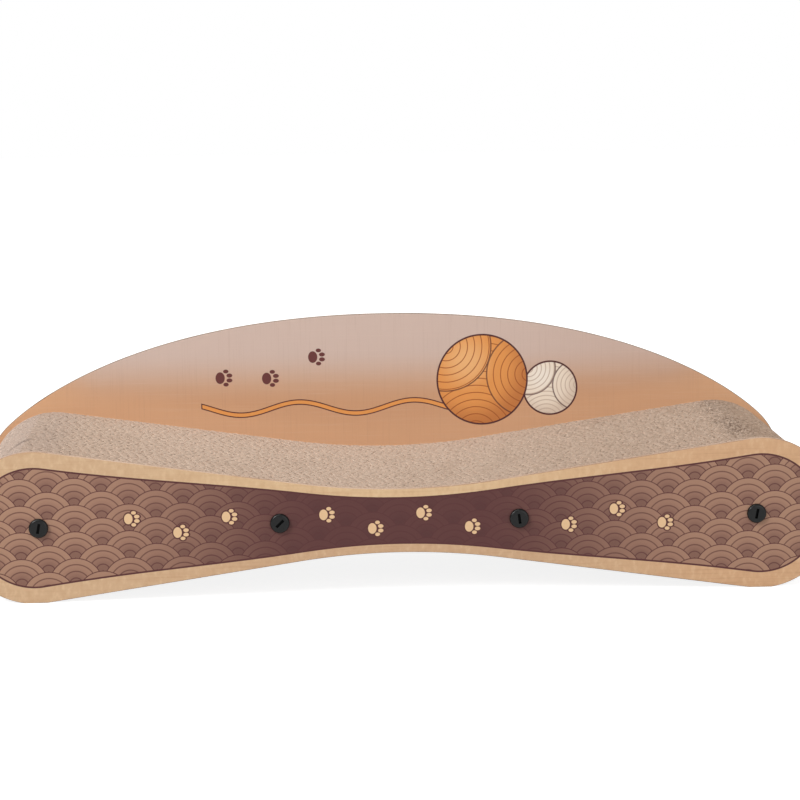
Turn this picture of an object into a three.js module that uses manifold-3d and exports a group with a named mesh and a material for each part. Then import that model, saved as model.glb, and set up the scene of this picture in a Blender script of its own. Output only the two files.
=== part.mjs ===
// Cardboard cat scratcher lounge: a core of corrugated sheets on edge between two thin wood panels.
// Millimetres. X runs along the length, Y from front to back, Z up. The origin is on the floor, midway.

import * as THREE from 'three';
import { mergeVertices } from 'three/addons/utils/BufferGeometryUtils.js';
import Module from 'manifold-3d';

// Bone outline, shared by the panels and the core
const LOBE_SPACING = 540; // between the centres of the two round ends
const LOBE_RADIUS = 57; // of a panel's round end
const WAIST_HEIGHT = 48; // of a panel at its lowest, in the middle
const WAIST_RADIUS = 520; // of the hollow that a cat lies in, and of the one below
const CORE_INSET = 4; // the core lies this far inside the panels' edge

// Arch of the back panel, above the mid-line of the lobes
const ARCH_RISE = 129; // from the mid-line to the crown
const SHOULDER_ANGLE = 45; // degrees up the lobe's round, where the arch leaves it
const SHOULDER_PULL = 16; // how far the arch keeps the lobe's direction
const CROWN_PULL = 214; // how far the arch stays level from the crown

// Layers through the depth
const PANEL_THICKNESS = 3;
const SHEET_THICKNESS = 5;
const CORE_DEPTH = 225; // taken up by whole sheets

// Plastic screws, in an even row on the mid-line
const SCREWS_PER_PANEL = 4;
const SCREW_SETBACK = 3.5; // from a lobe's centre in to the outer screw
const SCREW_LENGTH = 32; // under the head
const SHANK_DIAMETER = 7;
const TIP_LENGTH = 7;
const HEAD_DIAMETER = 14.4;
const HEAD_HEIGHT = 3;
const HEAD_EDGE_ROUND = 1.8;
const SLOT_LENGTH = 7.4;
const SLOT_WIDTH = 2;
const SLOT_DEPTH = 2.2;
const HOLE_CLEARANCE = 0.5; // around a shank
const FRONT_SLOT_ANGLES = [79, 44, 97, 79]; // degrees from level, left to right
const BACK_SLOT_ANGLES = [62, 108, 15, 84];

// Steps along each round stretch
const PANEL_STEPS = { lobe: 30, waist: 14, arch: 18, hole: 16 };
const SHEET_STEPS = { lobe: 14, waist: 6, hole: 10 };
const SCREW_STEPS = { around: 16, edge: 3 };

const LOOKS = {
  frontPanel: { color: 0xd9b487, roughness: 0.6 },
  backPanel: { color: 0xcc9b73, roughness: 0.6 },
  sheet: { color: 0xc8b09b, roughness: 0.95 },
  screw: { color: 0x232626, roughness: 0.4 },
};

// The waist's arc, the flank and the lobe meet smoothly, at the slope that this triangle gives.
const lobeX = LOBE_SPACING / 2;
const waistCentre = WAIST_HEIGHT / 2 + WAIST_RADIUS;
const flankSlope =
  Math.atan2(lobeX, waistCentre) - Math.acos((WAIST_RADIUS + LOBE_RADIUS) / Math.hypot(lobeX, waistCentre));

// The lowest stretch of a lobe is flat, so the mid-line lies a little less than a radius above the floor.
const midHeight = LOBE_RADIUS * Math.cos(flankSlope);
const sheetCount = Math.round(CORE_DEPTH / SHEET_THICKNESS);
const coreDepth = sheetCount * SHEET_THICKNESS;
const shankRadius = SHANK_DIAMETER / 2;
const headRadius = HEAD_DIAMETER / 2;
const holeRadius = shankRadius + HOLE_CLEARANCE;
const outerScrewX = lobeX - SCREW_SETBACK;
const screwPitch = (2 * outerScrewX) / (SCREWS_PER_PANEL - 1);
const screwXs = Array.from({ length: SCREWS_PER_PANEL }, (_, i) => i * screwPitch - outerScrewX);
const boredSheets = Math.ceil((SCREW_LENGTH - PANEL_THICKNESS) / SHEET_THICKNESS);

function arc(x, y, radius, from, to, steps) {
  return Array.from({ length: steps + 1 }, (_, i) => {
    const angle = from + ((to - from) * i) / steps;
    return new THREE.Vector2(x + radius * Math.cos(angle), y + radius * Math.sin(angle));
  });
}

function mirrored(points) {
  return points.map((p) => new THREE.Vector2(-p.x, p.y)).reverse();
}

// Lower edge of the bone from left to right: the left foot's flat, the hollow below, the right foot's flat.
function lowerEdge(inset, steps) {
  const up = Math.PI / 2;
  const hollow = arc(0, -waistCentre, WAIST_RADIUS + inset, up + flankSlope, up - flankSlope, steps.waist);
  const radius = LOBE_RADIUS - inset;
  const flankEnd = new THREE.Vector2(lobeX - radius * Math.sin(flankSlope), -radius * Math.cos(flankSlope));
  return [...mirrored([flankEnd]), ...hollow, flankEnd];
}

// Right lobe from the far end of its foot's flat, up to an angle above level.
function lobe(inset, upTo, steps) {
  return arc(lobeX, 0, LOBE_RADIUS - inset, flankSlope - Math.PI / 2, upTo, steps.lobe);
}

function boneOutline(inset, steps) {
  const up = Math.PI / 2;
  const right = lobe(inset, up + flankSlope, steps);
  const seat = arc(0, waistCentre, WAIST_RADIUS + inset, flankSlope - up, -flankSlope - up, steps.waist);
  return [...lowerEdge(inset, steps), ...right, ...seat, ...mirrored(right)];
}

function archedOutline(steps) {
  const angle = THREE.MathUtils.degToRad(SHOULDER_ANGLE);
  const right = lobe(0, angle, steps);
  const start = right.at(-1);
  const along = new THREE.Vector2(-Math.sin(angle), Math.cos(angle)).multiplyScalar(SHOULDER_PULL);
  const crown = new THREE.Vector2(0, ARCH_RISE);
  const level = new THREE.Vector2(CROWN_PULL, ARCH_RISE);
  const curve = new THREE.CubicBezierCurve(start, start.clone().add(along), level, crown);
  const shoulder = curve.getPoints(steps.arch).slice(1, -1);
  const rightHalf = [...right, ...shoulder];
  return [...lowerEdge(0, steps), ...rightHalf, crown, ...mirrored(rightHalf)];
}

// A board standing on edge: the outline's second direction becomes up, and its thickness runs to the back.
function board(outline, thickness, isBored, steps) {
  const shape = new THREE.Shape(outline);
  if (isBored) {
    const hole = (x) => arc(x, 0, holeRadius, 2 * Math.PI, 0, steps.hole).slice(1);
    shape.holes = screwXs.map((x) => new THREE.Path(hole(x)));
  }
  const geometry = new THREE.ExtrudeGeometry(shape, { depth: thickness, bevelEnabled: false });
  const standUp = new THREE.Matrix4().set(1, 0, 0, 0, 0, 0, -1, thickness, 0, 1, 0, 0, 0, 0, 0, 1);
  return geometry.applyMatrix4(standUp);
}

const wasm = await Module();
wasm.setup();

function toSolid(geometry) {
  const bare = geometry.clone();
  bare.deleteAttribute('normal');
  bare.deleteAttribute('uv');
  const merged = mergeVertices(bare);
  const corners = merged.index.array;
  const triVerts = [];
  for (let i = 0; i < corners.length; i += 3) {
    const [a, b, c] = corners.slice(i, i + 3);
    if (a !== b && b !== c && c !== a) {
      triVerts.push(a, b, c);
    }
  }
  const mesh = new wasm.Mesh({
    numProp: 3,
    vertProperties: new Float32Array(merged.attributes.position.array),
    triVerts: new Uint32Array(triVerts),
  });
  return new wasm.Manifold(mesh);
}

function toGeometry(solid) {
  const mesh = solid.getMesh();
  const geometry = new THREE.BufferGeometry();
  geometry.setAttribute('position', new THREE.BufferAttribute(mesh.vertProperties, 3));
  geometry.setIndex(new THREE.BufferAttribute(mesh.triVerts, 1));
  geometry.computeVertexNormals();
  return geometry;
}

// A screw along the second axis, with the underside of its head at zero and its tip below.
function screw(slotAngle) {
  const roundRadius = headRadius - HEAD_EDGE_ROUND;
  const roundHeight = HEAD_HEIGHT - HEAD_EDGE_ROUND;
  const edge = arc(roundRadius, roundHeight, HEAD_EDGE_ROUND, 0, Math.PI / 2, SCREW_STEPS.edge);
  const profile = [
    new THREE.Vector2(0, -SCREW_LENGTH),
    new THREE.Vector2(shankRadius, TIP_LENGTH - SCREW_LENGTH),
    new THREE.Vector2(shankRadius, 0),
    new THREE.Vector2(headRadius, 0),
    ...edge,
    new THREE.Vector2(0, HEAD_HEIGHT),
  ];
  const turned = toSolid(new THREE.LatheGeometry(profile, SCREW_STEPS.around));
  const slot = new THREE.BoxGeometry(SLOT_LENGTH, 2 * SLOT_DEPTH, SLOT_WIDTH);
  slot.rotateY(THREE.MathUtils.degToRad(slotAngle)).translate(0, HEAD_HEIGHT, 0);
  return toGeometry(turned.subtract(toSolid(slot)));
}

function piece(name, geometry, look) {
  const mesh = new THREE.Mesh(geometry, new THREE.MeshStandardMaterial({ ...look, metalness: 0 }));
  mesh.name = name;
  return mesh;
}

const scratcher = new THREE.Group();
scratcher.position.z = midHeight;

const frontPanel = piece(
  'front_panel', board(boneOutline(0, PANEL_STEPS), PANEL_THICKNESS, true, PANEL_STEPS), LOOKS.frontPanel,
);
frontPanel.position.y = -coreDepth / 2 - PANEL_THICKNESS;
scratcher.add(frontPanel);

const backPanel = piece(
  'back_panel', board(archedOutline(PANEL_STEPS), PANEL_THICKNESS, true, PANEL_STEPS), LOOKS.backPanel,
);
backPanel.position.y = coreDepth / 2;
scratcher.add(backPanel);

// The sheets that the screws reach are bored, and counted inwards from their panel. The rest are plain.
function sheetName(i) {
  const fromBack = sheetCount - 1 - i;
  if (i < boredSheets) {
    return `front_bored_sheet_${i + 1}`;
  }
  if (fromBack < boredSheets) {
    return `back_bored_sheet_${fromBack + 1}`;
  }
  return `plain_sheet_${String(i - boredSheets + 1).padStart(2, '0')}`;
}

const sheetOutline = boneOutline(CORE_INSET, SHEET_STEPS);
for (let i = 0; i < sheetCount; i += 1) {
  const isBored = Math.min(i, sheetCount - 1 - i) < boredSheets;
  const sheet = piece(sheetName(i), board(sheetOutline, SHEET_THICKNESS, isBored, SHEET_STEPS), LOOKS.sheet);
  sheet.position.y = i * SHEET_THICKNESS - coreDepth / 2;
  scratcher.add(sheet);
}

// Screw heads bear on the outer faces of the panels.
const sides = [
  { name: 'front', slotAngles: FRONT_SLOT_ANGLES, turn: Math.PI, face: -coreDepth / 2 - PANEL_THICKNESS },
  { name: 'back', slotAngles: BACK_SLOT_ANGLES, turn: 0, face: coreDepth / 2 + PANEL_THICKNESS },
];
for (const side of sides) {
  screwXs.forEach((x, i) => {
    const slotAngle = side.slotAngles[i % side.slotAngles.length];
    const fastener = piece(`${side.name}_screw_${i + 1}`, screw(slotAngle), LOOKS.screw);
    fastener.rotation.x = side.turn;
    fastener.position.set(x, side.face, 0);
    scratcher.add(fastener);
  });
}

export default scratcher;
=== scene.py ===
# Cardboard cat scratcher lounge: printed boards, a corrugated core and plastic screws, in a white studio.
# The frame is in metres. Shapes and prints are worked out in millimetres, and scaled as meshes are made.

import itertools
import math
import random

import bmesh
import bpy
from mathutils import Matrix, Vector
from mathutils import noise as space_noise
from mathutils.geometry import tessellate_polygon


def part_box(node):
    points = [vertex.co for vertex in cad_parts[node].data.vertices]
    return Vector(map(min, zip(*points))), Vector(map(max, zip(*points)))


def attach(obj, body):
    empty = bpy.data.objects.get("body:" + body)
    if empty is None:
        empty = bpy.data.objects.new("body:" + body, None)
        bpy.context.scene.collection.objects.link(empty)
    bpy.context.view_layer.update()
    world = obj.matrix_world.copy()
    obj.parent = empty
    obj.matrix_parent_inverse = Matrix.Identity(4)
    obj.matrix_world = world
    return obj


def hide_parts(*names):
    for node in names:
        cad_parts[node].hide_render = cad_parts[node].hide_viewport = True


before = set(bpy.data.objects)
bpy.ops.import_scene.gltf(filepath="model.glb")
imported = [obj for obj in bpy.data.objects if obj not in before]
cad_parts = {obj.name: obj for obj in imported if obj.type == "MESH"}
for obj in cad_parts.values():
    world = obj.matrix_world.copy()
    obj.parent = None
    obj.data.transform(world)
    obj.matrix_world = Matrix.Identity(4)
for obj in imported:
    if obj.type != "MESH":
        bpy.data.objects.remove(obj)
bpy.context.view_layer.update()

MM = 0.001
chance = random.Random(11)

# Bone outline, shared by the boards and the core
LOBE_SPACING = 540  # between the centres of the two round ends
LOBE_RADIUS = 57
WAIST_HEIGHT = 48  # of a board at its lowest, in the middle
WAIST_RADIUS = 520  # of the seat's hollow, and of the one below
CORE_INSET = 4  # the core lies this far inside the boards' edge

# Arch of the back board, above the mid-line of the lobes
ARCH_RISE = 129
SHOULDER_ANGLE = math.radians(45)  # up the lobe's round, where the arch leaves it
SHOULDER_PULL = 16  # how far the arch keeps the lobe's direction
CROWN_PULL = 214  # how far the arch stays level from the crown

# Boards
EDGE_EASE = 0.45  # how much is taken off the corners
HOLE_RADIUS = 4
LOBE_STEPS = 72
WAIST_STEPS = 36
ARCH_STEPS = 64
HOLE_STEPS = 32

# Corrugated sheets, with upright flutes between two liners
LINER_THICKNESS = 0.4
FLUTE_THICKNESS = 0.35  # of the paper that is folded into flutes
FLUTE_PITCH = 7.2
STEPS_PER_FLUTE = 8
LINER_STEP = 1.2
END_STEPS = 18
BORE_STEPS = 8
GLUE_LINE = 0.004  # between two sheets
SHEET_UNEVENNESS = 0.06  # how much further in than others a sheet may end
FLUTE_RECESS = 0.12  # the flutes end this far inside the liners
FRAY_DEPTH = 1.0
FRAY_LENGTH = 1.0  # along the cut

# Plastic screws
HEAD_RADIUS = 7.2
HEAD_HEIGHT = 3
HEAD_ROUND = 1.8
HEAD_RIM = 0.2
HEAD_STEPS = 8
SLOT_LENGTH = 7.4
SLOT_WIDTH = 2
SLOT_DEPTH = 2.2
SLOT_ANGLES = {"front": (79, 44, 97, 79), "back": (62, 108, 15, 84)}  # degrees from level
SHANK_LENGTH = 32
TIP_LENGTH = 7
ROOT_RADIUS = 2.7  # of the shank between the turns of its thread
CREST_RADIUS = 3.5
THREAD_PITCH = 3
STEPS_PER_TURN = 6
STEPS_AROUND = 40

# Front print: a plain border round a field of fish scales, with a trail of paw prints
SOFT = 0.12  # half the width over which a printed edge fades
BORDER_AT_WAIST = 7.0
BORDER_AT_LOBES = 12.5
BORDER_LINE = 1.3
SCALE_RADIUS = 20.0
SCALE_DROP = 3.0  # of the rows of scales, from the mid-line
SCALE_LINE = 1.3
RINGS_PER_SCALE = 4
RING_LINE = 0.9
PAW_SIZE = 0.95
PAW_PITCH = 36.0
PAW_OFFSET = 5.5  # from the mid-line
PAW_OUTLINE = 0.8
TRAIL_HALF = 216.0
SCREW_CLEAR = 14.0

# Back print: a fade with two balls of yarn, a loose thread and paw prints
BIG_BALL = (80.0, 73.0, 37.0)  # middle and radius
SMALL_BALL = (136.0, 65.0, 22.0)
BALL_OUTLINE = 1.4
GROOVE_LINE = 0.8
CROSSING_LINE = 1.1
YARN_WIDTH = 2.8
YARN_OUTLINE = 0.9
YARN_WAVE = 15.0
YARN_SWING = 5.0
YARN_HEIGHT = 52.0
YARN_ENDS = (-150.0, 58.0)
TRACK_COUNT = 3
TRACK_START = (-132.0, 78.0)
TRACK_STEP = (38.0, 8.0)
TRACK_OFFSET = 9.0
TRACK_SIZE = 1.15

# Ball of yarn, in shares of its radius. Its strands are sets of rings about three centres.
STRAND = 0.16
UPPER_WINDING = (-0.8, 0.75)
UPPER_REACH = 1.0  # out to the last ring of the set
RIGHT_WINDING = (1.05, 0.1)
RIGHT_REACH = 0.95
LOWER_WINDING = (-0.15, -1.25)
HIGHLIGHT_MIDDLE = (-0.35, 0.4)
HIGHLIGHT = (0.75, 0.1)
LIT_MIDDLE = (-0.25, 0.3)
SHADE = (0.7, 1.3)

# Changes over the front print, each from where it starts to where it is complete
BORDER_GROWTH = (60.0, 250.0)
GREYER_TO_LEFT = (-40.0, -240.0)
WARMER_TO_RIGHT = (40.0, 240.0)
DARKER_BELOW = (10.0, -30.0)
BETWEEN_LOBES = (260.0, 60.0)
PALER_TO_ENDS = (55.0, 225.0)
RIMS_TO_ENDS = (90.0, 300.0)
SCALE_RIM = (4.0, SCALE_RADIUS)  # from the centre of a scale
SCALE_HEART = (14.0, 2.0)

# Changes over the back print
LOWER_FADE = (54.0, 84.0)
UPPER_FADE = (70.0, 100.0)
# painted shade: the back print darker towards the right, away from the key lamp on the left
DARKER_TO_RIGHT = (80.0, 270.0)
WARMER_ENDS = (230.0, 285.0)
# painted light near the core's edge, against the shade that the core casts there
PAINTED_LIGHT_AT_SEAT = (-26.0, -2.0)  # in from the bone outline

# Changes along the front board's rim, which is darker on the right with painted shade
RIM_SHADE_FROM = (20.0, 110.0)
RIM_SHADE_TO = (264.0, 244.0)

# Changes over the core
PAD_DARKER_TO_RIGHT = (20.0, 270.0)
WORN_TO_LEFT = (-140.0, -270.0)
WORN_TO_FRONT = (90.0, -60.0)
HOLE_SHADE_TO_RIGHT = (40.0, 180.0)
GREYER_LEFT_CREST = (-235.0, -268.0)
SMOOTH_LEFT = (11.0, 13.5)  # out from the lobe's centre
# painted shade and wear on the right round, which turns away from the key lamp
SHADE_AND_WEAR_RIGHT = (-8.0, 12.0)

# Scuffs along the crests of the core, and how they fade away from their middles
CREST_X = 269.0
CREST_SCUFF = (21.0, 4.0)
REAR_SCUFF_Y = 80.0
REAR_SCUFF = (60.0, 15.0)
FRONT_SCUFF_Y = -25.0
FRONT_SCUFF = (80.0, 20.0)

# Crease on the left round, painted as the shade of a fold, which bends to the front as it runs out
CREASE_START = 10.0  # out from the lobe's centre
CREASE_MIDDLE = 16.0
CREASE_ENDS = (9.0, 5.0)  # from its middle
CREASE_Y = -22.0
CREASE_BEND = 0.2
CREASE_WIDTH = (9.0, 1.5)


def centre(node):
    """The middle of a solid's box, in millimetres."""
    low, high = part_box(node)
    return (low + high) / (2 * MM)


lobe_x = LOBE_SPACING / 2
mid_height = centre("front_screw_1").z
screw_xs = [centre(f"front_screw_{i + 1}").x for i in range(len(SLOT_ANGLES["front"]))]
inner_screw_x = min(x for x in screw_xs if x > 0)
waist_centre = WAIST_HEIGHT / 2 + WAIST_RADIUS
flank_slope = math.atan2(lobe_x, waist_centre) - math.acos(
    (WAIST_RADIUS + LOBE_RADIUS) / math.hypot(lobe_x, waist_centre)
)


# Outlines, as points (x, height above the mid-line), anticlockwise seen from the front

def arc(x, z, radius, start, end, steps):
    angles = [start + (end - start) * i / steps for i in range(steps + 1)]
    return [(x + radius * math.cos(a), z + radius * math.sin(a)) for a in angles]


def mirrored(points):
    return [(-x, z) for x, z in reversed(points)]


def lower_edge():
    up = math.pi / 2
    hollow = arc(0, -waist_centre, WAIST_RADIUS, up + flank_slope, up - flank_slope, WAIST_STEPS)
    flank_end = (lobe_x - LOBE_RADIUS * math.sin(flank_slope), -LOBE_RADIUS * math.cos(flank_slope))
    return [*mirrored([flank_end]), *hollow, flank_end]


def right_lobe(up_to):
    return arc(lobe_x, 0, LOBE_RADIUS, flank_slope - math.pi / 2, up_to, LOBE_STEPS)


def bone_outline():
    up = math.pi / 2
    lobe = right_lobe(up + flank_slope)
    seat = arc(0, waist_centre, WAIST_RADIUS, flank_slope - up, -flank_slope - up, WAIST_STEPS)
    return [*lower_edge(), *lobe, *seat, *mirrored(lobe)]


def bezier(corners, steps):
    """The points between the ends of a cubic curve."""
    points = []
    for i in range(1, steps):
        t = i / steps
        weights = ((1 - t) ** 3, 3 * t * (1 - t) ** 2, 3 * t**2 * (1 - t), t**3)
        points.append(tuple(sum(w * corner[k] for w, corner in zip(weights, corners)) for k in (0, 1)))
    return points


def arched_outline():
    lobe = right_lobe(SHOULDER_ANGLE)
    start = lobe[-1]
    rise = (
        start[0] - SHOULDER_PULL * math.sin(SHOULDER_ANGLE),
        start[1] + SHOULDER_PULL * math.cos(SHOULDER_ANGLE),
    )
    crown = (0, ARCH_RISE)
    right = [*lobe, *bezier((start, rise, (CROWN_PULL, ARCH_RISE), crown), ARCH_STEPS)]
    return [*lower_edge(), *right, crown, *mirrored(right)]


def drawn_in(outline, distance):
    """The outline moved inwards by a small distance."""
    moved = []
    for before, (x, z), after in zip([outline[-1], *outline], outline, [*outline[1:], outline[0]]):
        along = Vector((after[0] - before[0], after[1] - before[1])).normalized()
        moved.append((x - distance * along.y, z + distance * along.x))
    return moved


def hole_outlines():
    return [arc(x, 0, HOLE_RADIUS, 0, 2 * math.pi, HOLE_STEPS)[:-1] for x in screw_xs]


def half_height(x, inset):
    """From the mid-line up to the edge of a bone that lies inside the boards' outline."""
    x = abs(x)
    hollow = WAIST_RADIUS + inset
    radius = LOBE_RADIUS - inset
    flank_start = hollow * math.sin(flank_slope)
    if x < flank_start:
        return waist_centre - math.sqrt(hollow**2 - x**2)
    if x < lobe_x - radius * math.sin(flank_slope):
        low = waist_centre - hollow * math.cos(flank_slope)
        return low + (x - flank_start) * math.tan(flank_slope)
    return math.sqrt(max(radius**2 - (x - lobe_x) ** 2, 0))


# Meshes

class Shell:
    """Points in millimetres, faces, and the material slot that each face wears."""

    def __init__(self):
        self.points = []
        self.faces = []
        self.slots = []

    def ring(self, points):
        start = len(self.points)
        self.points.extend(points)
        return list(range(start, len(self.points)))

    def upright(self, points, y):
        return self.ring([(x, y, mid_height + z) for x, z in points])

    def face(self, corners, slot):
        self.faces.append(corners)
        self.slots.append(slot)

    def bridge(self, first, second, slots):
        """Joins two closed rings, with one slot for all sides or one for each."""
        count = len(first)
        for i in range(count):
            j = (i + 1) % count
            slot = slots if isinstance(slots, int) else slots[i]
            self.face((first[i], first[j], second[j], second[i]), slot)

    def cap(self, rings, slot, axes):
        """Closes an outer ring, less the rings inside it, in the plane of two axes."""
        corners = list(itertools.chain(*rings))
        loops = [[Vector([self.points[i][axis] for axis in axes]) for i in ring] for ring in rings]
        for triangle in tessellate_polygon(loops):
            self.face([corners[i] for i in triangle], slot)

    def piece(self, name, materials, smooth_below):
        """Makes the object, with edges that bend by fewer degrees than smooth_below shaded as round."""
        mesh = bpy.data.meshes.new(name)
        mesh.from_pydata([Vector(p) * MM for p in self.points], [], self.faces)
        mesh.polygons.foreach_set("material_index", self.slots)
        whole = bmesh.new()
        whole.from_mesh(mesh)
        bmesh.ops.recalc_face_normals(whole, faces=whole.faces)
        whole.to_mesh(mesh)
        whole.free()
        mesh.shade_smooth()
        mesh.set_sharp_from_angle(angle=math.radians(smooth_below))
        for material in materials:
            mesh.materials.append(material)
        made = bpy.data.objects.new(name, mesh)
        bpy.context.scene.collection.objects.link(made)
        return made


def fit(piece, node):
    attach(piece, "root")
    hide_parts(node)


# Shading: numbers that vary over a surface, written as sums and kept as nodes

class Field:
    def __init__(self, tree, socket):
        self.tree = tree
        self.socket = socket

    def math(self, operation, *others):
        node = self.tree.nodes.new("ShaderNodeMath")
        node.operation = operation
        for place, item in zip(node.inputs, (self, *others)):
            if isinstance(item, Field):
                self.tree.links.new(item.socket, place)
            else:
                place.default_value = item
        return Field(self.tree, node.outputs[0])

    def __add__(self, other):
        return self.math("ADD", other)

    def __sub__(self, other):
        return self.math("SUBTRACT", other)

    def __mul__(self, other):
        return self.math("MULTIPLY", other)

    def __truediv__(self, other):
        return self.math("DIVIDE", other)

    def __abs__(self):
        return self.math("ABSOLUTE")

    def __lt__(self, other):
        return self.math("LESS_THAN", other)

    def __gt__(self, other):
        return self.math("GREATER_THAN", other)


def length(a, b):
    return (a * a + b * b).math("SQRT")


def away(u, v, point):
    """Distance from a point."""
    return length(u - point[0], v - point[1])


def choose(mask, yes, no):
    return no + (yes - no) * mask


def from_nearest(value, step):
    """How far a value is from the nearest whole number of steps."""
    return abs(value - (value / step).math("ROUND") * step)


def odd(value):
    return value.math("FLOORED_MODULO", 2.0)


def ramp(value, start, end):
    """Rises smoothly from 0 at start to 1 at end."""
    node = value.tree.nodes.new("ShaderNodeMapRange")
    node.interpolation_type = "SMOOTHSTEP"
    value.tree.links.new(value.socket, node.inputs["Value"])
    node.inputs["From Min"].default_value = start
    node.inputs["From Max"].default_value = end
    return Field(value.tree, node.outputs["Result"])


def inside(distance):
    return ramp(distance, SOFT, -SOFT)


def line(distance, width):
    return inside(abs(distance) - width / 2)


def srgb(*levels):
    shares = [level / 255 for level in levels]
    linear = [s / 12.92 if s <= 0.04045 else ((s + 0.055) / 1.055) ** 2.4 for s in shares]
    return (*linear, 1.0)


def paint(base, colour, mask, strength=1.0):
    """A colour laid over another where the mask is one. Each colour is fixed or comes from a socket."""
    tree = mask.tree
    node = tree.nodes.new("ShaderNodeMix")
    node.data_type = "RGBA"
    sockets = {socket.identifier: socket for socket in node.inputs}
    tree.links.new((mask * strength).socket, sockets["Factor_Float"])
    for item, socket in ((base, sockets["A_Color"]), (colour, sockets["B_Color"])):
        if isinstance(item, tuple):
            socket.default_value = item
        else:
            tree.links.new(item, socket)
    return next(socket for socket in node.outputs if socket.identifier == "Result_Color")


class Finish:
    """A material with its shader, and the place on the object in millimetres, up from the mid-line."""

    def __init__(self, name, roughness, gloss):
        self.low_roughness, self.high_roughness = roughness
        self.material = bpy.data.materials.new(name)
        self.material.use_nodes = True
        self.tree = self.material.node_tree
        self.shader = self.tree.nodes["Principled BSDF"]
        self.shader.inputs["Roughness"].default_value = (self.low_roughness + self.high_roughness) / 2
        self.shader.inputs["Specular IOR Level"].default_value = gloss
        place = self.tree.nodes.new("ShaderNodeTexCoord")
        parts = self.tree.nodes.new("ShaderNodeSeparateXYZ")
        self.tree.links.new(place.outputs["Object"], parts.inputs["Vector"])
        metres = [Field(self.tree, socket) for socket in parts.outputs]
        self.x = metres[0] * (1 / MM)
        self.y = metres[1] * (1 / MM)
        self.z = metres[2] * (1 / MM) - mid_height

    def noise(self, *lengths, detail=2.0):
        """A random number around a half, that changes over about these lengths along x, y and z."""
        place = self.tree.nodes.new("ShaderNodeCombineXYZ")
        for value, step, socket in zip((self.x, self.y, self.z), lengths, place.inputs):
            self.tree.links.new((value / step).socket, socket)
        node = self.tree.nodes.new("ShaderNodeTexNoise")
        node.inputs["Scale"].default_value = 1.0
        node.inputs["Detail"].default_value = detail
        self.tree.links.new(place.outputs["Vector"], node.inputs["Vector"])
        return Field(self.tree, node.outputs["Fac"])

    def colour(self, socket):
        self.tree.links.new(socket, self.shader.inputs["Base Color"])

    def vary_roughness(self, share):
        value = share * (self.high_roughness - self.low_roughness) + self.low_roughness
        self.tree.links.new(value.socket, self.shader.inputs["Roughness"])

    def bump(self, height, depth):
        node = self.tree.nodes.new("ShaderNodeBump")
        node.inputs["Distance"].default_value = depth * MM
        self.tree.links.new(height.socket, node.inputs["Height"])
        self.tree.links.new(node.outputs["Normal"], self.shader.inputs["Normal"])


# Distances that the prints are drawn from

def from_bone_edge(x, z):
    """Distance in from the edge of the bone outline."""
    x = abs(x)
    z = abs(z)
    cosine = math.cos(flank_slope)
    sine = math.sin(flank_slope)
    lobe = length(x - lobe_x, z) * -1.0 + LOBE_RADIUS
    flank = (x - lobe_x) * sine - z * cosine + LOBE_RADIUS
    waist = length(x, z - waist_centre) - WAIST_RADIUS
    on_lobe = (x - lobe_x) * cosine + z * sine > 0.0
    on_waist = x * cosine + (z - waist_centre) * sine < 0.0
    return choose(on_lobe, lobe, choose(on_waist, waist, flank))


def scallop_rings(x, z, radius):
    """Distance from the centre of the overlapping scale that shows. Lower rows lie over higher ones."""
    row_height = radius / 2
    row = (z / row_height).math("FLOOR")
    below, level, above = (
        length(
            (x - odd(row + step) * radius).math("PINGPONG", radius),
            z - (row + step) * row_height,
        )
        for step in (-1.0, 0.0, 1.0)
    )
    return choose(below < radius, below, choose(level < radius, level, above))


def ellipse(u, v, middle, radii):
    """About the distance to the edge of an ellipse, below zero inside."""
    scaled = length((u - middle[0]) / radii[0], (v - middle[1]) / radii[1])
    return (scaled - 1.0) * min(radii)


def paw(u, v, size):
    """Distance to the edge of a paw print that points along u, about twelve times size long."""
    u = u / size
    v = abs(v / size)
    heel = ellipse(u, v, middle=(-2.6, 0.0), radii=(3.3, 4.2))
    outer_toes = ellipse(u, v, middle=(1.5, 4.7), radii=(1.9, 1.4))
    inner_toes = ellipse(u, v, middle=(4.0, 1.75), radii=(2.1, 1.5))
    return heel.math("MINIMUM", outer_toes).math("MINIMUM", inner_toes) * size


def loose_thread(x, z):
    """Distance to the edge of a thread that waves along the seat."""
    swing = (x / YARN_WAVE).math("SINE") * YARN_SWING
    slope = (x / YARN_WAVE).math("COSINE") * (YARN_SWING / YARN_WAVE)
    across = abs(z - swing - YARN_HEIGHT) / (slope * slope + 1.0).math("SQRT")
    start, end = YARN_ENDS
    along = abs(x - (start + end) / 2) - (end - start) / 2
    return (across - YARN_WIDTH / 2).math("MAXIMUM", along)


# Front print

INK = srgb(84, 48, 48)
TAN = srgb(215, 181, 141)
GREY_TAN = srgb(203, 169, 134)
WARM_TAN = srgb(208, 166, 128)
LOW_TAN = srgb(200, 163, 129)
GRAIN_BROWN = srgb(176, 132, 98)
HAIR_BROWN = srgb(150, 104, 76)
MOTTLE_BROWN = srgb(182, 140, 104)
MOTTLE_CREAM = srgb(236, 208, 168)
MAROON = srgb(90, 55, 53)
BROWN = srgb(150, 112, 95)
RIM_TAN = srgb(184, 147, 119)
HEART_BROWN = srgb(70, 40, 42)
PAW_TAN = srgb(224, 187, 145)


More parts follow.
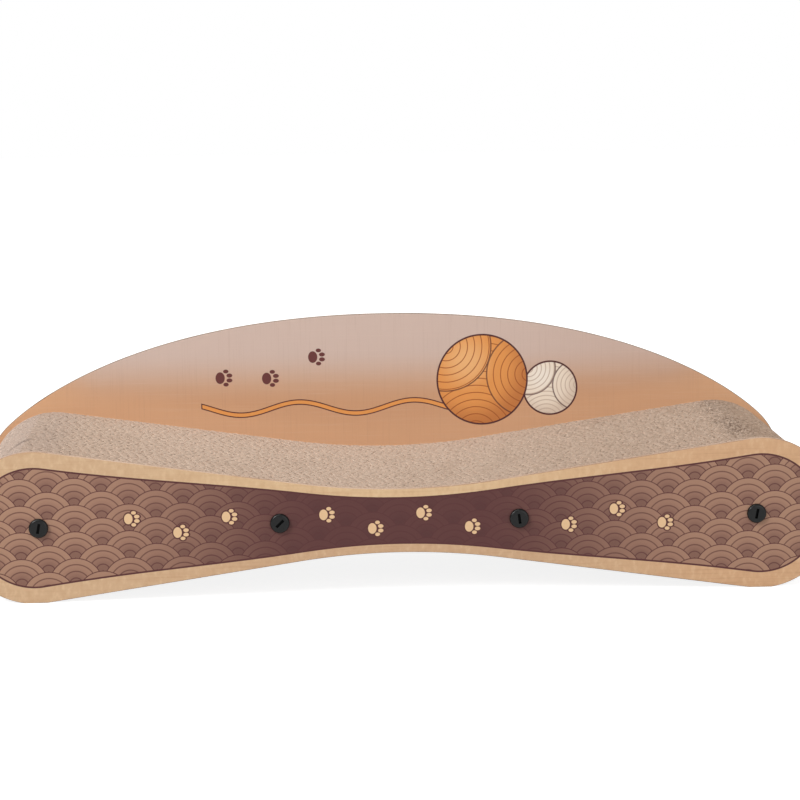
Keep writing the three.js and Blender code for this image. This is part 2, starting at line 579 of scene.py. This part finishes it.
def wood_border(finish, grain, hairs):
    mottle = finish.noise(3.0, 1.0, 5.0, detail=4.0)
    low = ramp(finish.z, *DARKER_BELOW) * ramp(abs(finish.x), *BETWEEN_LOBES)
    colour = paint(TAN, GREY_TAN, ramp(finish.x, *GREYER_TO_LEFT))
    colour = paint(colour, WARM_TAN, ramp(finish.x, *WARMER_TO_RIGHT))
    colour = paint(colour, LOW_TAN, low)
    colour = paint(colour, GRAIN_BROWN, ramp(grain, 0.5, 0.8), strength=0.4)
    colour = paint(colour, HAIR_BROWN, ramp(hairs, 0.66, 0.8), strength=0.25)
    colour = paint(colour, MOTTLE_BROWN, ramp(mottle, 0.5, 0.7), strength=0.2)
    return paint(colour, MOTTLE_CREAM, ramp(mottle, 0.5, 0.3), strength=0.2)


def scale_field(x, z):
    """Fish scales that darken to the middle."""
    rings = scallop_rings(x, z + SCALE_DROP, SCALE_RADIUS)
    rims = ramp(rings, *SCALE_RIM) * ramp(abs(x), *RIMS_TO_ENDS)
    ring_edges = from_nearest(rings, SCALE_RADIUS / RINGS_PER_SCALE)
    colour = paint(MAROON, BROWN, ramp(abs(x), *PALER_TO_ENDS))
    colour = paint(colour, RIM_TAN, rims, strength=0.45)
    colour = paint(colour, HEART_BROWN, ramp(rings, *SCALE_HEART), strength=0.35)
    colour = paint(colour, INK, line(ring_edges, RING_LINE), strength=0.72)
    return paint(colour, INK, line(rings - SCALE_RADIUS, SCALE_LINE), strength=0.9)


def paw_trail(colour, x, z):
    """Lays paw prints over a colour, above and below the mid-line by turns, clear of the screws."""
    step = ((x - PAW_PITCH / 2) / PAW_PITCH).math("ROUND")
    side = odd(step) * 2.0 - 1.0
    edge = paw(x - (step + 0.5) * PAW_PITCH, z + side * PAW_OFFSET, PAW_SIZE)
    trail = (abs(x) < TRAIL_HALF) * (abs(abs(x) - inner_screw_x) > SCREW_CLEAR)
    colour = paint(colour, INK, inside(edge - PAW_OUTLINE) * trail)
    return paint(colour, PAW_TAN, inside(edge) * trail)


def front_print():
    """Wood-toned border round a field of fish scales, with a row of paw prints."""
    finish = Finish("front_print", roughness=(0.46, 0.62), gloss=0.2)
    x, z = finish.x, finish.z
    grain = finish.noise(60.0, 1.0, 1.3, detail=4.0)
    hairs = finish.noise(18.0, 1.0, 0.35)
    border = ramp(abs(x), *BORDER_GROWTH) * (BORDER_AT_LOBES - BORDER_AT_WAIST) + BORDER_AT_WAIST
    inset = from_bone_edge(x, z) - border
    field = paw_trail(scale_field(x, z), x, z)
    colour = paint(wood_border(finish, grain, hairs), field, ramp(inset, -SOFT, SOFT))
    finish.colour(paint(colour, INK, line(inset, BORDER_LINE)))
    finish.vary_roughness(grain)
    finish.bump(hairs, depth=0.04)
    return finish.material


# Back print

SEAT_TAN = srgb(203, 155, 119)
MIDDLE_BEIGE = srgb(204, 168, 143)
CROWN_GREY = srgb(207, 184, 172)
PAINTED_SHADE_BROWN = srgb(178, 128, 96)
END_TAN = srgb(210, 160, 119)
PAINTED_LIGHT_PEACH = srgb(216, 169, 131)
WARP_BROWN = srgb(150, 112, 90)
WEFT_CREAM = srgb(226, 205, 188)
ORANGE = srgb(226, 152, 84)
TRACK_BROWN = srgb(104, 58, 56)

# Tones of a yarn, of its shade and of its highlight
ORANGE_YARN = (ORANGE, srgb(158, 84, 46), srgb(243, 196, 140))
CREAM_YARN = (srgb(236, 221, 203), srgb(196, 172, 152), srgb(247, 240, 230))


def yarn_ball(colour, x, z, ball, tones):
    """Lays a wound ball over a colour."""
    middle_x, middle_z, radius = ball
    yarn, shade, light = tones
    u = (x - middle_x) / radius
    v = (z - middle_z) / radius
    edge = (length(u, v) - 1.0) * radius
    upper = away(u, v, UPPER_WINDING)
    right = away(u, v, RIGHT_WINDING)
    lower = away(u, v, LOWER_WINDING)
    strands = choose(upper < UPPER_REACH, upper, choose(right < RIGHT_REACH, right, lower))
    grooves = line(from_nearest(strands, STRAND) * radius, GROOVE_LINE)
    upper_edge = line((upper - UPPER_REACH) * radius, CROSSING_LINE)
    right_edge = line((right - RIGHT_REACH) * radius, CROSSING_LINE) * (upper > UPPER_REACH)
    wound = paint(yarn, light, ramp(away(u, v, HIGHLIGHT_MIDDLE), *HIGHLIGHT), strength=0.6)
    wound = paint(wound, shade, ramp(away(u, v, LIT_MIDDLE), *SHADE), strength=0.55)
    wound = paint(wound, shade, grooves, strength=0.85)
    wound = paint(wound, INK, upper_edge.math("MAXIMUM", right_edge), strength=0.8)
    colour = paint(colour, wound, inside(edge))
    return paint(colour, INK, line(edge, BALL_OUTLINE))


def back_print():
    """A soft fade from grey beige to orange tan, with balls of yarn, a loose thread and paw prints."""
    finish = Finish("back_print", roughness=(0.5, 0.66), gloss=0.2)
    x, z = finish.x, finish.z
    warp = finish.noise(0.7, 1.0, 45.0)
    weft = finish.noise(45.0, 1.0, 0.8)
    colour = paint(SEAT_TAN, MIDDLE_BEIGE, ramp(z, *LOWER_FADE))
    colour = paint(colour, CROWN_GREY, ramp(z, *UPPER_FADE))
    # painted shade, darker towards the right, away from the key lamp
    colour = paint(colour, PAINTED_SHADE_BROWN, ramp(x, *DARKER_TO_RIGHT), strength=0.2)
    colour = paint(colour, END_TAN, ramp(abs(x), *WARMER_ENDS), strength=0.7)
    # painted light along the core's edge, lifting the shade cast there
    colour = paint(colour, PAINTED_LIGHT_PEACH, ramp(from_bone_edge(x, z), *PAINTED_LIGHT_AT_SEAT), strength=0.5)
    colour = paint(colour, WARP_BROWN, ramp(warp, 0.5, 0.9), strength=0.16)
    colour = paint(colour, WEFT_CREAM, ramp(weft, 0.5, 0.9), strength=0.14)

    thread = loose_thread(x, z)
    colour = paint(colour, INK, inside(thread - YARN_OUTLINE))
    colour = paint(colour, ORANGE, inside(thread))
    colour = yarn_ball(colour, x, z, SMALL_BALL, CREAM_YARN)
    colour = yarn_ball(colour, x, z, BIG_BALL, ORANGE_YARN)
    for i in range(TRACK_COUNT):
        u = x - (TRACK_START[0] + i * TRACK_STEP[0])
        v = z - (TRACK_START[1] + i * TRACK_STEP[1] - i % 2 * TRACK_OFFSET)
        colour = paint(colour, TRACK_BROWN, inside(paw(u, v, TRACK_SIZE)))

    finish.colour(colour)
    finish.vary_roughness(warp)
    finish.bump(warp + weft, depth=0.03)
    return finish.material


# Bare materials

BOARD_TAN = srgb(196, 160, 124)
BOARD_CLOUD = srgb(204, 170, 135)
BOARD_FIBRE = srgb(150, 112, 82)
EDGE_PALE = srgb(194, 168, 147)
EDGE_LAYER = srgb(168, 134, 108)
EDGE_SCORCH = srgb(116, 82, 60)
SCUFF_BROWN = srgb(100, 76, 62)
CREST_GREY = srgb(190, 171, 160)
SMOOTH_PAPER = srgb(206, 186, 172)
CREASE_SHADE_GREY = srgb(166, 147, 136)
PLASTIC_BLACK = srgb(9, 10, 10)
PLASTIC_SCUFF = srgb(26, 28, 28)


def bare_board():
    finish = Finish("bare_board", roughness=(0.68, 0.85), gloss=0.2)
    clouds = finish.noise(90.0, 90.0, 60.0)
    fibres = finish.noise(4.0, 1.0, 0.9, detail=4.0)
    colour = paint(BOARD_TAN, BOARD_CLOUD, ramp(clouds, 0.3, 0.7))
    finish.colour(paint(colour, BOARD_FIBRE, ramp(fibres, 0.52, 0.78), strength=0.5))
    finish.vary_roughness(fibres)
    finish.bump(fibres, depth=0.05)
    return finish.material


def board_edge():
    """Cut edge of a thin board, pale, with darker layers and scorched stretches."""
    finish = Finish("board_edge", roughness=(0.7, 0.9), gloss=0.2)
    layers = finish.noise(30.0, 0.5, 30.0)
    scorch = finish.noise(9.0, 3.0, 9.0, detail=3.0)
    colour = paint(EDGE_PALE, EDGE_LAYER, ramp(layers, 0.4, 0.7))
    finish.colour(paint(colour, EDGE_SCORCH, ramp(scorch, 0.5, 0.8), strength=0.5))
    finish.vary_roughness(layers)
    return finish.material


def board_rim(name, usual, wear_and_shade_tone, painted_shade_on_right):
    """Eased corner round a printed face, worn to another tone in places, with painted shade towards the
    right.
    """
    finish = Finish(name, roughness=(0.6, 0.8), gloss=0.2)
    # painted shade: the rim darker towards the right, where it turns away from the key lamp
    on_right = ramp(finish.x, *RIM_SHADE_FROM) * ramp(finish.x, *RIM_SHADE_TO)
    wear_and_shade = finish.noise(45.0, 1.0, 45.0, detail=4.0) + on_right * painted_shade_on_right
    finish.colour(paint(usual, wear_and_shade_tone, ramp(wear_and_shade, 0.52, 0.66)))
    finish.vary_roughness(wear_and_shade)
    return finish.material


def paper(name, light, dark, wear_and_shade_tone):
    """Kraft paper with fibres and patches, darker to the right, with dark specks of painted shade for the
    flute holes on the right, and scuffed along the crests.
    The round on the left is pale and smooth, with the painted shade of a crease. The round on the right
    has painted shade and wear."""
    finish = Finish(name, roughness=(0.92, 0.92), gloss=0.1)
    x, y = finish.x, finish.y
    on_left = x < 0.0
    on_right = x > 0.0
    patches = finish.noise(28.0, 50.0, 60.0, detail=3.0)
    specks = finish.noise(1.8, 5.0, 1.8, detail=1.0)
    hole_shade = finish.noise(2.2, 10.0, 2.2, detail=1.0)
    fibres = finish.noise(1.6, 1.6, 3.0)
    colour = paint(light, dark, ramp(fibres, 0.3, 0.7))
    colour = paint(colour, wear_and_shade_tone, ramp(patches, 0.5, 0.8), strength=0.2)
    colour = paint(colour, wear_and_shade_tone, ramp(x, *PAD_DARKER_TO_RIGHT), strength=0.12)
    colour = paint(colour, wear_and_shade_tone, ramp(x, *WORN_TO_LEFT), strength=0.17)
    # painted shade: dark specks standing in for shadowed flute holes on the right
    colour = paint(colour, wear_and_shade_tone, ramp(hole_shade, 0.4, 0.66) * ramp(x, *HOLE_SHADE_TO_RIGHT), strength=0.42)
    colour = paint(colour, wear_and_shade_tone, ramp(y, *WORN_TO_FRONT), strength=0.1)

    rear = ramp(abs(y - REAR_SCUFF_Y), *REAR_SCUFF) * 0.5
    front = ramp(abs(y - FRONT_SCUFF_Y), *FRONT_SCUFF) * 0.7
    scuffs = ramp(abs(abs(x) - CREST_X), *CREST_SCUFF) * ramp(specks, 0.38, 0.64)
    colour = paint(colour, SCUFF_BROWN, scuffs * choose(on_right, rear + front, front * 0.25))
    colour = paint(colour, CREST_GREY, ramp(x, *GREYER_LEFT_CREST), strength=0.3)

    out = abs(x) - lobe_x
    past_start = out - CREASE_START
    from_crease = abs(y - CREASE_Y + past_start * past_start * CREASE_BEND)
    crease_shade = ramp(from_crease, *CREASE_WIDTH) * ramp(abs(out - CREASE_MIDDLE), *CREASE_ENDS)
    colour = paint(colour, SMOOTH_PAPER, ramp(out, *SMOOTH_LEFT) * on_left, strength=0.8)
    # painted shade of the fold along the crease
    colour = paint(colour, CREASE_SHADE_GREY, crease_shade * on_left, strength=0.8)
    # painted shade and wear on the right round, which turns away from the key lamp
    colour = paint(colour, wear_and_shade_tone, ramp(out, *SHADE_AND_WEAR_RIGHT) * on_right, strength=0.6)
    finish.colour(colour)
    return finish.material


def black_plastic(name, gloss):
    finish = Finish(name, roughness=(0.16, 0.3), gloss=gloss)
    grain = finish.noise(0.25, 0.25, 0.25)
    scuffs = finish.noise(3.0, 3.0, 0.8, detail=3.0)
    finish.colour(paint(PLASTIC_BLACK, PLASTIC_SCUFF, ramp(scuffs, 0.55, 0.85)))
    finish.vary_roughness(scuffs)
    finish.bump(grain, depth=0.015)
    return finish.material


# Boards

PRINT, RIM, EDGE, BARE = range(4)
cut_edge = board_edge()
bare = bare_board()
pale_rim = board_rim("front_rim", srgb(194, 166, 144), srgb(162, 128, 104), painted_shade_on_right=0.22)
brown_rim = board_rim("back_rim", srgb(136, 122, 110), srgb(74, 50, 38), painted_shade_on_right=0.0)


def add_board(name, node, outline, print_material, rim_material):
    """A board with eased corners and four screw holes."""
    low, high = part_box(node)
    front = low.y / MM
    back = high.y / MM
    inner = drawn_in(outline, EDGE_EASE)
    layers = ((inner, front), (outline, front + EDGE_EASE), (outline, back - EDGE_EASE), (inner, back))
    shell = Shell()
    rings = [shell.upright(points, y) for points, y in layers]
    for first, second, side in zip(rings, rings[1:], (RIM, EDGE, EDGE)):
        shell.bridge(first, second, side)
    fronts = [shell.upright(hole, front) for hole in hole_outlines()]
    backs = [shell.upright(hole, back) for hole in hole_outlines()]
    for first, second in zip(fronts, backs):
        shell.bridge(first, second, EDGE)
    shell.cap([rings[0], *fronts], PRINT, axes=(0, 2))
    shell.cap([rings[-1], *backs], BARE, axes=(0, 2))
    piece = shell.piece(name, (print_material, rim_material, cut_edge, bare), smooth_below=30)
    fit(piece, node)


add_board("printed_front_board", "front_panel", bone_outline(), front_print(), pale_rim)
add_board("printed_back_board", "back_panel", arched_outline(), back_print(), brown_rim)


# Corrugated sheets

PAPER, CUT = range(2)
flat_paper = paper("liner_paper", srgb(220, 197, 178), srgb(205, 181, 162), srgb(171, 145, 124))
cut_paper = paper("cut_paper_edge", srgb(222, 202, 184), srgb(206, 184, 165), srgb(176, 150, 129))


def fray(x, y, side):
    """How far the cut falls short at the top (side 1) or bottom (side -1). It is cleaner on the rounds."""
    radius = LOBE_RADIUS - CORE_INSET
    lean = min(max(abs(x) - lobe_x, 0) / radius, 1)
    ragged = 0.5 + 0.5 * space_noise.noise(Vector((x, y, side)) / FRAY_LENGTH)
    return FRAY_DEPTH * ragged * (1 - lean)


def add_strip(shell, xs, depth_at, thickness, heights_at):
    """A strip of paper on edge, closed at both ends, along depth_at, which gives a depth and a slope."""
    rings = []
    for x in xs:
        y, slope = depth_at(x)
        across = Vector((-slope, 1)).normalized() * thickness / 2
        bottom, top = heights_at(x)
        corners = ((-1, bottom), (-1, top), (1, top), (1, bottom))
        points = [(x + s * across.x, y + s * across.y, mid_height + z) for s, z in corners]
        rings.append(shell.ring(points))
    for first, second in zip(rings, rings[1:]):
        shell.bridge(first, second, (PAPER, CUT, PAPER, CUT))
    shell.face(rings[0], CUT)
    shell.face(rings[-1], CUT)


def add_layer(shell, xs, depth_at, thickness, inset, is_bored):
    """A layer of a sheet, in one strip, or with a strip above and below each bore."""
    foot = (LOBE_RADIUS - inset) * math.cos(flank_slope)

    def bottom(x):
        return fray(x, depth_at(x)[0], -1) - min(half_height(x, inset), foot)

    def top(x):
        return half_height(x, inset) - fray(x, depth_at(x)[0], 1)

    start = xs[0]
    for bore in screw_xs if is_bored else []:
        left = bore - HOLE_RADIUS
        run = [start, *(x for x in xs if start < x < left), left]
        add_strip(shell, run, depth_at, thickness, lambda x: (bottom(x), top(x)))
        beside = [bore - HOLE_RADIUS * math.cos(math.pi * i / BORE_STEPS) for i in range(BORE_STEPS + 1)]

        def bore_edge(x):
            return math.sqrt(max(HOLE_RADIUS**2 - (x - bore) ** 2, 0))

        add_strip(shell, beside, depth_at, thickness, lambda x: (bottom(x), -bore_edge(x)))
        add_strip(shell, beside, depth_at, thickness, lambda x: (bore_edge(x), top(x)))
        start = bore + HOLE_RADIUS
    run = [start, *(x for x in xs if x > start)]
    add_strip(shell, run, depth_at, thickness, lambda x: (bottom(x), top(x)))


def liner_places(inset):
    """Even steps between the lobes' centres, and steps along the round beyond them."""
    radius = LOBE_RADIUS - inset
    count = round(2 * lobe_x / LINER_STEP)
    between = [lobe_x * (2 * i / count - 1) for i in range(count + 1)]
    end = [lobe_x + radius * math.sin(math.pi / 2 * i / END_STEPS) for i in range(1, END_STEPS)]
    return [*(-x for x in reversed(end)), *between, *end]


def flute_places(inset):
    step = FLUTE_PITCH / STEPS_PER_FLUTE
    reach = lobe_x + LOBE_RADIUS - inset - step
    count = int(2 * reach / step)
    return [-reach + i * step for i in range(count + 1)]


def add_sheet(name, node):
    """Two flat liners with a fluted layer between them."""
    low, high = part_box(node)
    front = low.y / MM + GLUE_LINE / 2
    back = high.y / MM - GLUE_LINE / 2
    is_bored = "bored" in node
    inset = CORE_INSET + chance.random() * SHEET_UNEVENNESS
    phase = chance.random() * 2 * math.pi
    turn = 2 * math.pi / FLUTE_PITCH
    middle = (front + back) / 2
    swing = (back - front - FLUTE_THICKNESS) / 2 - LINER_THICKNESS

    def wave(x):
        return middle + swing * math.cos(turn * x + phase), -swing * turn * math.sin(turn * x + phase)

    shell = Shell()
    for depth in (front + LINER_THICKNESS / 2, back - LINER_THICKNESS / 2):
        add_layer(shell, liner_places(inset), lambda x: (depth, 0), LINER_THICKNESS, inset, is_bored)
    add_layer(shell, flute_places(inset), wave, FLUTE_THICKNESS, inset + FLUTE_RECESS, is_bored)
    fit(shell.piece(name, (flat_paper, cut_paper), smooth_below=50), node)


sheet_nodes = sorted((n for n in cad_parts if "_sheet_" in n), key=lambda n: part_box(n)[0].y)
for number, node in enumerate(sheet_nodes, start=1):
    add_sheet(f"corrugated_sheet_{number:02d}", node)


# Screws, along their own axis with the head's underside at zero, seen from the head

HEAD, SLOT = range(2)
plastics = (black_plastic("black_plastic", gloss=0.24), black_plastic("slot_plastic", gloss=0.04))


def turned_ring(shell, radius_at, height):
    angles = [2 * math.pi * i / STEPS_AROUND for i in range(STEPS_AROUND)]
    return shell.ring([(radius_at(a) * math.cos(a), radius_at(a) * math.sin(a), height) for a in angles])


def thread_radius(angle, height, share):
    """Radius of the shank with its helical thread, drawn in to a share of itself at the tip."""
    phase = (height / THREAD_PITCH + angle / (2 * math.pi)) % 1
    crest = max(0, 1 - 2 * abs(2 * phase - 1))
    return share * (ROOT_RADIUS + (CREST_RADIUS - ROOT_RADIUS) * crest)


def add_screw(name, node, slot_angle, is_front):
    shell = Shell()
    underside = [(ROOT_RADIUS, 0), (HEAD_RADIUS - HEAD_RIM, 0), (HEAD_RADIUS, HEAD_RIM)]
    round_middle = (HEAD_RADIUS - HEAD_ROUND, HEAD_HEIGHT - HEAD_ROUND)
    profile = underside + arc(*round_middle, HEAD_ROUND, 0, math.pi / 2, HEAD_STEPS)
    rings = [turned_ring(shell, lambda a, r=radius: r, height) for radius, height in profile]

    rows = int(SHANK_LENGTH / THREAD_PITCH * STEPS_PER_TURN)
    for i in range(1, rows):
        depth = SHANK_LENGTH * i / rows
        share = min(1, (SHANK_LENGTH - depth) / TIP_LENGTH)
        rings.insert(0, turned_ring(shell, lambda a: thread_radius(a, depth, share), -depth))
    for first, second in zip(rings, rings[1:]):
        shell.bridge(first, second, HEAD)
    shell.face(rings[0], HEAD)

    angle = math.radians(slot_angle)
    along = Vector((math.cos(angle), math.sin(angle))) * SLOT_LENGTH / 2
    across = Vector((-math.sin(angle), math.cos(angle))) * SLOT_WIDTH / 2
    corners = [along - across, along + across, -along + across, -along - across]
    mouth = shell.ring([(p.x, p.y, HEAD_HEIGHT) for p in corners])
    floor_ring = shell.ring([(p.x, p.y, HEAD_HEIGHT - SLOT_DEPTH) for p in corners])
    shell.cap([rings[-1], mouth], HEAD, axes=(0, 1))
    shell.bridge(mouth, floor_ring, SLOT)
    shell.face(floor_ring, SLOT)

    low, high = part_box(node)
    face = low.y / MM + HEAD_HEIGHT if is_front else high.y / MM - HEAD_HEIGHT
    side = 1 if is_front else -1
    middle = centre(node)
    shell.points = [(middle.x + side * u, face - side * w, mid_height + v) for u, v, w in shell.points]
    fit(shell.piece(name, plastics, smooth_below=40), node)


for panel, slot_angles in SLOT_ANGLES.items():
    for i, slot_angle in enumerate(slot_angles, start=1):
        add_screw(f"slotted_screw_{panel}_{i}", f"{panel}_screw_{i}", slot_angle, panel == "front")


# Studio, in metres and watts

FLOOR_SIDE = 12.0
FLOOR_GREY = 0.45
FLOOR_LIFT = 0.86  # light that the floor adds for the camera, so that only the shadow stays below white
AMBIENT = 0.55
LAMP_TARGET = (0, 0, 0.08)
LAMPS = {
    "key_lamp": {"place": (-2.1, -1.9, 2.1), "width": 1.4, "power": 68},
    "fill_lamp": {"place": (1.4, -2.8, 0.9), "width": 2.0, "power": 16},
    "top_lamp": {"place": (-0.8, -0.5, 2.6), "width": 1.8, "power": 18},
    "back_lamp": {"place": (0.7, 2.7, 0.5), "width": 1.6, "power": 22},
}


def light_path(tree):
    """One for rays from the camera and from glossy or clear surfaces."""
    node = tree.nodes.new("ShaderNodeLightPath")
    seen = Field(tree, node.outputs["Is Camera Ray"])
    for other in ("Is Glossy Ray", "Is Transmission Ray"):
        seen = seen.math("MAXIMUM", Field(tree, node.outputs[other]))
    return seen


def white_floor():
    material = bpy.data.materials.new("white_floor")
    material.use_nodes = True
    tree = material.node_tree
    tree.nodes.clear()
    diffuse = tree.nodes.new("ShaderNodeBsdfDiffuse")
    diffuse.inputs["Color"].default_value = (FLOOR_GREY, FLOOR_GREY, FLOOR_GREY, 1)
    glow = tree.nodes.new("ShaderNodeEmission")
    tree.links.new((light_path(tree) * FLOOR_LIFT).socket, glow.inputs["Strength"])
    both = tree.nodes.new("ShaderNodeAddShader")
    out = tree.nodes.new("ShaderNodeOutputMaterial")
    tree.links.new(diffuse.outputs["BSDF"], both.inputs[0])
    tree.links.new(glow.outputs["Emission"], both.inputs[1])
    tree.links.new(both.outputs["Shader"], out.inputs["Surface"])
    return material


def add_floor():
    half = FLOOR_SIDE / 2
    corners = [(-half, -half, 0), (half, -half, 0), (half, half, 0), (-half, half, 0)]
    mesh = bpy.data.meshes.new("studio_floor")
    mesh.from_pydata(corners, [], [(0, 1, 2, 3)])
    mesh.materials.append(white_floor())
    floor = bpy.data.objects.new("studio_floor", mesh)
    bpy.context.scene.collection.objects.link(floor)


def add_world():
    world = bpy.data.worlds.new("studio")
    world.use_nodes = True
    tree = world.node_tree
    background = tree.nodes["Background"]
    strength = light_path(tree) * (1 - AMBIENT) + AMBIENT
    background.inputs["Color"].default_value = (1, 1, 1, 1)
    tree.links.new(strength.socket, background.inputs["Strength"])
    bpy.context.scene.world = world


def add_lamp(name, place, width, power):
    lamp = bpy.data.lights.new(name, "AREA")
    lamp.shape = "DISK"
    lamp.size = width
    lamp.energy = power
    made = bpy.data.objects.new(name, lamp)
    made.location = place
    made.rotation_euler = (Vector(LAMP_TARGET) - Vector(place)).to_track_quat("-Z", "Y").to_euler()
    bpy.context.scene.collection.objects.link(made)


add_floor()
add_world()
for name, lamp in LAMPS.items():
    add_lamp(name, **lamp)


# Camera, at the photograph's viewing angle

CAMERA_PLACE = (-0.0928, -2.0799, 0.4326)
CAMERA_YAW = math.radians(2.741)
CAMERA_DOWN = math.radians(8.271)
CAMERA_ROLL = math.radians(-0.697)
LENS = 121.4
SENSOR = 36.0


def add_camera():
    data = bpy.data.cameras.new("photo_camera")
    data.sensor_width = SENSOR
    data.lens = LENS
    camera = bpy.data.objects.new("photo_camera", data)
    turn = Matrix.Rotation(-CAMERA_YAW, 4, "Z") @ Matrix.Rotation(math.pi / 2 - CAMERA_DOWN, 4, "X")
    camera.matrix_world = Matrix.Translation(CAMERA_PLACE) @ turn @ Matrix.Rotation(CAMERA_ROLL, 4, "Z")
    bpy.context.scene.collection.objects.link(camera)
    bpy.context.scene.camera = camera


add_camera()
bpy.context.scene.view_settings.view_transform = "Standard"
